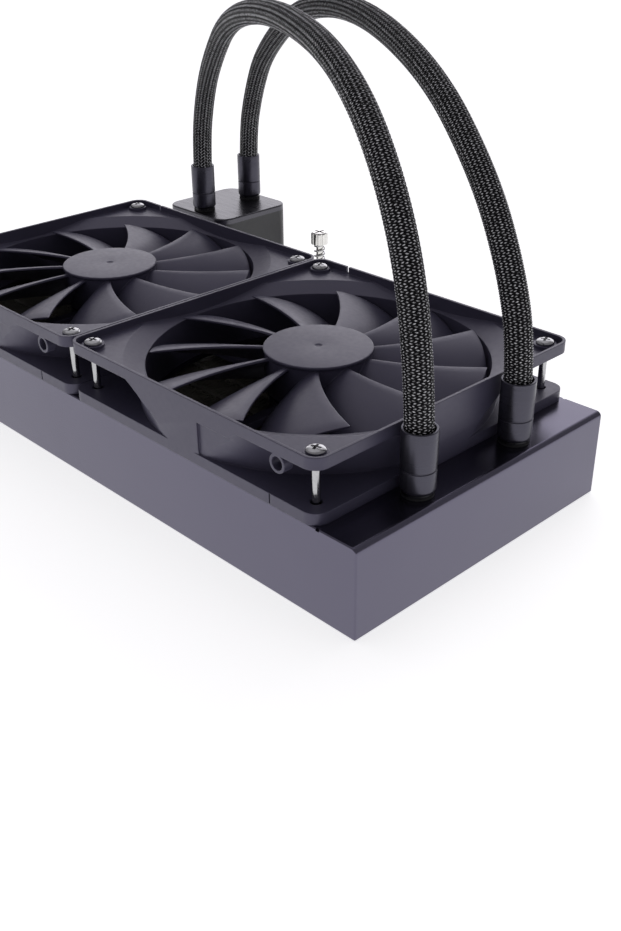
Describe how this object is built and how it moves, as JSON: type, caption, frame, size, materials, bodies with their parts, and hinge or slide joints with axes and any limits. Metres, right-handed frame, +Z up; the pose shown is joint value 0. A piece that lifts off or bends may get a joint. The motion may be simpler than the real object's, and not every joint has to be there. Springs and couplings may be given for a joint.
{
  "type": "liquid cooler for a computer processor",
  "caption": "Liquid cooler for a processor: flat radiator carrying two square fans in a row, joined by braided hoses in metal collars to a square pump unit with a copper cold plate.",
  "frame": {"origin": "centre of the radiator's underside", "axes": "+X along the radiator towards the end with the hoses, +Z up through the fans, +Y towards the pump unit"},
  "size_m": [0.333, 0.2385, 0.175],
  "materials": {
    "casing": "satin",
    "tank_metal": "satin",
    "core_metal": "satin",
    "fan_plastic": "matte",
    "screw_metal": "nickel plated",
    "seal_rubber": "matte",
    "hose_braid": "braided",
    "copper": "polished copper",
    "clear_black_plastic": "matte",
    "pump_plastic": "matte",
    "inner_plastic": "matte",
    "steel": "bright",
    "winding": "enamelled wire and steel",
    "board": "satin",
    "bracket_metal": "satin",
    "magnet": "matte",
    "bearing_bronze": "satin",
    "fitting_metal": "dark plated",
    "collar_metal": "black anodised satin"
  },
  "bodies": {
    "cooler": {"radiator_casing": "casing", "port_tank": "tank_metal", "turning_tank": "tank_metal", "coolant_tubes": "core_metal", "cooling_fins": "core_metal", "fan_screws": "screw_metal", "fitting_seals": "seal_rubber", "supply_hose": "hose_braid", "return_hose": "hose_braid", "cold_plate": "copper", "plate_screws": "screw_metal", "pump_seal": "seal_rubber", "jet_plate": "clear_black_plastic", "pump_housing": "pump_plastic", "pump_cover": "pump_plastic", "impeller_shaft": "steel", "pump_stator": "winding", "pump_circuit_board": "board", "mounting_bracket": "bracket_metal", "mounting_screws": "screw_metal", "mounting_springs": "steel", "retaining_clips": "inner_plastic", "fan_frame_front": "fan_plastic", "fan_bearing_front": "bearing_bronze", "fan_stator_front": "winding", "fan_circuit_board_front": "board", "fan_frame_rear": "fan_plastic", "fan_bearing_rear": "bearing_bronze", "fan_stator_rear": "winding", "fan_circuit_board_rear": "board", "radiator_fitting_supply": "fitting_metal", "radiator_collar_supply": "collar_metal", "pump_fitting_supply": "fitting_metal", "pump_collar_supply": "collar_metal", "radiator_fitting_return": "fitting_metal", "radiator_collar_return": "collar_metal", "pump_fitting_return": "fitting_metal", "pump_collar_return": "collar_metal"},
    "front_rotor": {"fan_rotor_front": "fan_plastic", "fan_shaft_front": "steel", "fan_magnet_front": "magnet"},
    "rear_rotor": {"fan_rotor_rear": "fan_plastic", "fan_shaft_rear": "steel", "fan_magnet_rear": "magnet"},
    "impeller": {"pump_impeller": "inner_plastic"}
  },
  "joints": [
    {"name": "front_fan_spin", "type": "hinge", "parent": "cooler", "child": "front_rotor", "pos_m": [0.073, 0, 0.05], "axis": [0, 0, 1], "continuous": true},
    {"name": "rear_fan_spin", "type": "hinge", "parent": "cooler", "child": "rear_rotor", "pos_m": [-0.0665, 0, 0.05], "axis": [0, 0, 1], "continuous": true},
    {"name": "impeller_spin", "type": "hinge", "parent": "cooler", "child": "impeller", "pos_m": [-0.13, 0.126, 0.015], "axis": [0, 0, 1], "continuous": true}
  ]
}
